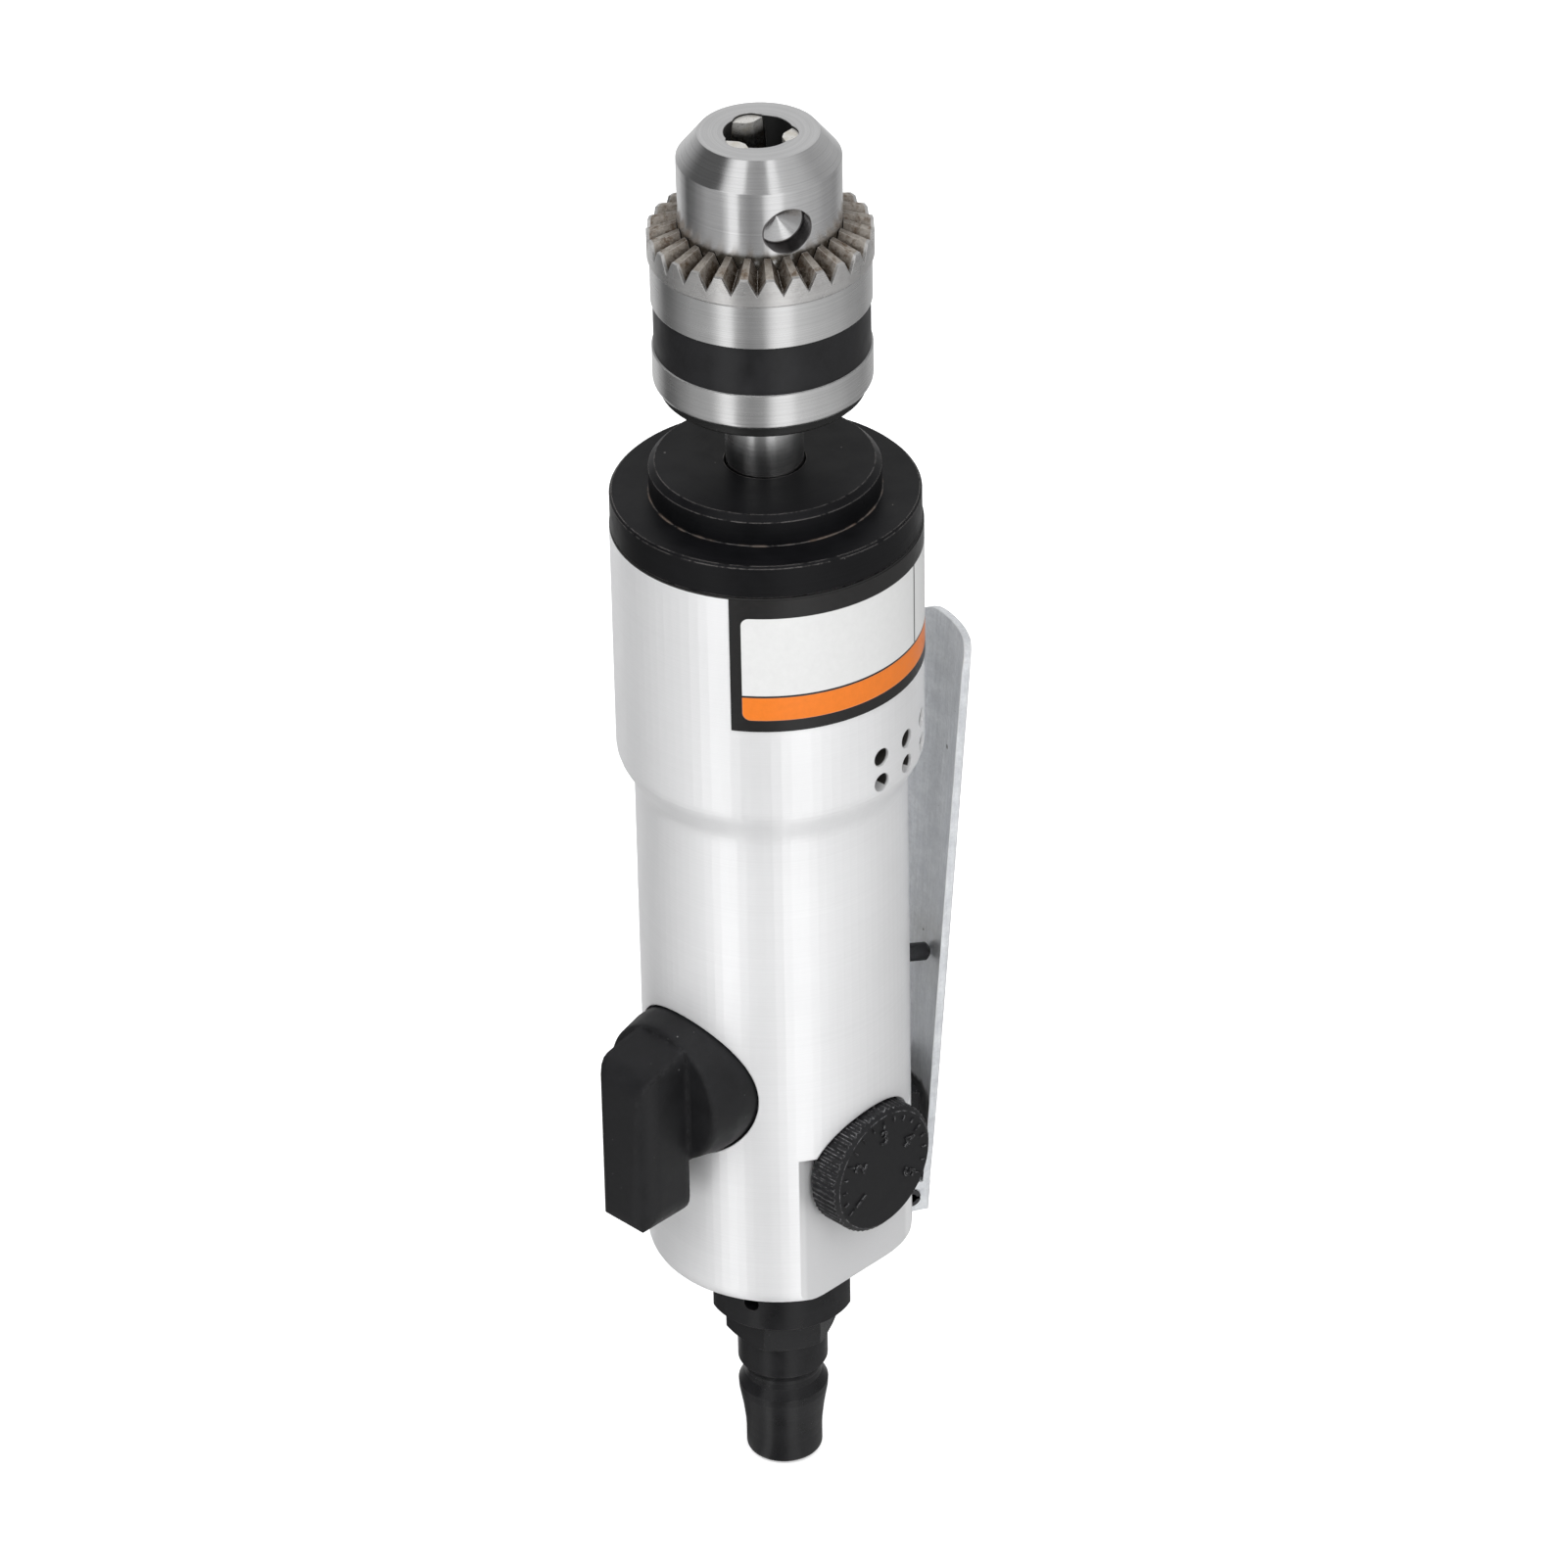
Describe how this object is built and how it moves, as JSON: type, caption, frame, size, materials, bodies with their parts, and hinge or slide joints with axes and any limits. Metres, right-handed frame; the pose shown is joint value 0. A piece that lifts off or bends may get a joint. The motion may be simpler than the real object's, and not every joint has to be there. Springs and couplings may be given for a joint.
{
  "type": "straight air drill",
  "caption": "Straight pneumatic drill with a keyed chuck, planetary gear, vane motor, throttle lever, reversing knob, speed knob and coupling plug.",
  "frame": {"origin": "mouth of the air plug, on the spindle axis", "axes": "+Z along the spindle towards the chuck's nose; the lever stands at about 112 degrees from -Y, turning towards +X"},
  "size_m": [0.0494, 0.0432, 0.2039],
  "materials": {
    "housing_metal": "fine brushed, bare",
    "label_print": "printed film, blank panel with an orange band and a black frame",
    "cap_black": "satin black, worn bright at the edges",
    "bright_steel": "turned and ground",
    "gear_steel": "hobbed and hardened",
    "dark_steel": "dark heat-treated",
    "black_steel": "blackened",
    "chuck_steel": "turned bright",
    "motor_steel": "ground faces",
    "bearing_steel": "polished",
    "blade_resin": "cloth-filled resin",
    "washer_bronze": "plain",
    "lever_steel": "mottled grey, lighter at the rim",
    "valve_brass": "turned",
    "seal_rubber": "matt",
    "knob_black": "moulded, slightly worn",
    "screen_metal": "perforated",
    "spring_steel": "drawn wire"
  },
  "bodies": {
    "housing": {"housing": "housing_metal", "label": "label_print", "front_cap": "cap_black", "spindle_seal": "seal_rubber", "bearing_circlip": "dark_steel", "spindle_bearing_front_outer": "bearing_steel", "spindle_bearing_rear_outer": "bearing_steel", "ring_gear": "gear_steel", "gear_washer": "washer_bronze", "front_end_plate": "motor_steel", "rear_end_plate": "motor_steel", "motor_cylinder": "motor_steel", "cylinder_pin": "dark_steel", "rotor_bearing_front_outer": "bearing_steel", "rotor_bearing_rear_outer": "bearing_steel", "lever_pin": "dark_steel", "lever_bracket": "black_steel", "bracket_screw": "black_steel", "throttle_bushing": "valve_brass", "throttle_seal": "seal_rubber", "throttle_spring": "spring_steel", "reversing_stop_pin": "dark_steel", "speed_stop_pin": "dark_steel", "inlet_bushing": "black_steel", "inlet_seal": "seal_rubber", "inlet_screen": "screen_metal", "air_plug": "black_steel"},
    "spindle": {"spindle": "bright_steel", "planet_pins": "bright_steel", "spindle_circlip": "dark_steel", "spindle_bearing_front_inner": "bearing_steel", "spindle_bearing_rear_inner": "bearing_steel", "chuck_body": "chuck_steel"},
    "chuck_sleeve": {"chuck_sleeve": "chuck_steel", "chuck_nut": "gear_steel"},
    "jaw_1": {"chuck_jaw_1": "gear_steel"},
    "jaw_2": {"chuck_jaw_2": "gear_steel"},
    "jaw_3": {"chuck_jaw_3": "gear_steel"},
    "rotor": {"rotor": "gear_steel", "rotor_blades": "blade_resin", "rotor_bearing_front_inner": "bearing_steel", "rotor_bearing_rear_inner": "bearing_steel"},
    "planet_1": {"planet_gear_1": "gear_steel"},
    "planet_2": {"planet_gear_2": "gear_steel"},
    "planet_3": {"planet_gear_3": "gear_steel"},
    "lever": {"lever": "lever_steel"},
    "throttle_valve": {"throttle_stem": "dark_steel", "throttle_ball": "bearing_steel"},
    "reversing_knob": {"reversing_knob": "knob_black", "reversing_valve": "valve_brass", "reversing_seals": "seal_rubber"},
    "speed_knob": {"speed_knob": "knob_black", "speed_valve": "valve_brass", "speed_seal": "seal_rubber"}
  },
  "joints": [
    {"name": "spindle_spin", "type": "hinge", "parent": "housing", "child": "spindle", "pos_m": [0, 0, 0.1585], "axis": [0, 0, 1], "continuous": true},
    {"name": "rotor_spin", "type": "hinge", "parent": "housing", "child": "rotor", "pos_m": [0, 0, 0.1055], "axis": [0, 0, 1], "continuous": true},
    {"name": "planet_1_spin", "type": "hinge", "parent": "spindle", "child": "planet_1", "pos_m": [0.0081, 0, 0.1329], "axis": [0, 0, 1], "continuous": true},
    {"name": "planet_2_spin", "type": "hinge", "parent": "spindle", "child": "planet_2", "pos_m": [-0.00405, 0.00702, 0.1329], "axis": [0, 0, 1], "continuous": true},
    {"name": "planet_3_spin", "type": "hinge", "parent": "spindle", "child": "planet_3", "pos_m": [-0.00405, -0.00702, 0.1329], "axis": [0, 0, 1], "continuous": true},
    {"name": "sleeve_turn", "type": "hinge", "parent": "spindle", "child": "chuck_sleeve", "pos_m": [0, 0, 0.178], "axis": [0, 0, -1], "range_deg": [-350, 1980]},
    {"name": "jaw_1_slide", "type": "slide", "parent": "spindle", "child": "jaw_1", "axis": [-0.2546, 0.0467, 0.9659], "range_m": [-0.00155, 0.00875]},
    {"name": "jaw_2_slide", "type": "slide", "parent": "spindle", "child": "jaw_2", "axis": [0.0868, -0.2438, 0.9659], "range_m": [-0.00155, 0.00875]},
    {"name": "jaw_3_slide", "type": "slide", "parent": "spindle", "child": "jaw_3", "axis": [0.1677, 0.1971, 0.9659], "range_m": [-0.00155, 0.00875]},
    {"name": "lever_squeeze", "type": "hinge", "parent": "housing", "child": "lever", "pos_m": [0.01585, 0.00641, 0.0396], "axis": [0.3746, -0.9272, 0], "range_deg": [0, 3.1], "stiffness_Nm_per_rad": 2, "springref_deg": -8.59},
    {"name": "throttle_slide", "type": "slide", "parent": "housing", "child": "throttle_valve", "axis": [-0.9131, -0.3689, 0.1736], "range_m": [0, 0.00199], "deforming": ["throttle_spring"]},
    {"name": "reversing_turn", "type": "hinge", "parent": "housing", "child": "reversing_knob", "pos_m": [-0.01131, -0.01131, 0.0695], "axis": [-0.7071, -0.7071, 0], "range_deg": [0, 90]},
    {"name": "speed_turn", "type": "hinge", "parent": "housing", "child": "speed_knob", "pos_m": [0.01131, -0.01131, 0.0554], "axis": [0.7071, -0.7071, 0], "range_deg": [0, 270]}
  ],
  "couplings": [
    {"joint": "rotor_spin", "follows": "spindle_spin", "ratio": 4.5},
    {"joint": "planet_1_spin", "follows": "spindle_spin", "ratio": -2.8},
    {"joint": "planet_2_spin", "follows": "spindle_spin", "ratio": -2.8},
    {"joint": "planet_3_spin", "follows": "spindle_spin", "ratio": -2.8},
    {"joint": "jaw_1_slide", "follows": "sleeve_turn", "m_per_rad": 0.00025266},
    {"joint": "jaw_2_slide", "follows": "sleeve_turn", "m_per_rad": 0.00025266},
    {"joint": "jaw_3_slide", "follows": "sleeve_turn", "m_per_rad": 0.00025266},
    {"joint": "throttle_slide", "follows": "lever_squeeze", "m_per_rad": 0.0363}
  ]
}
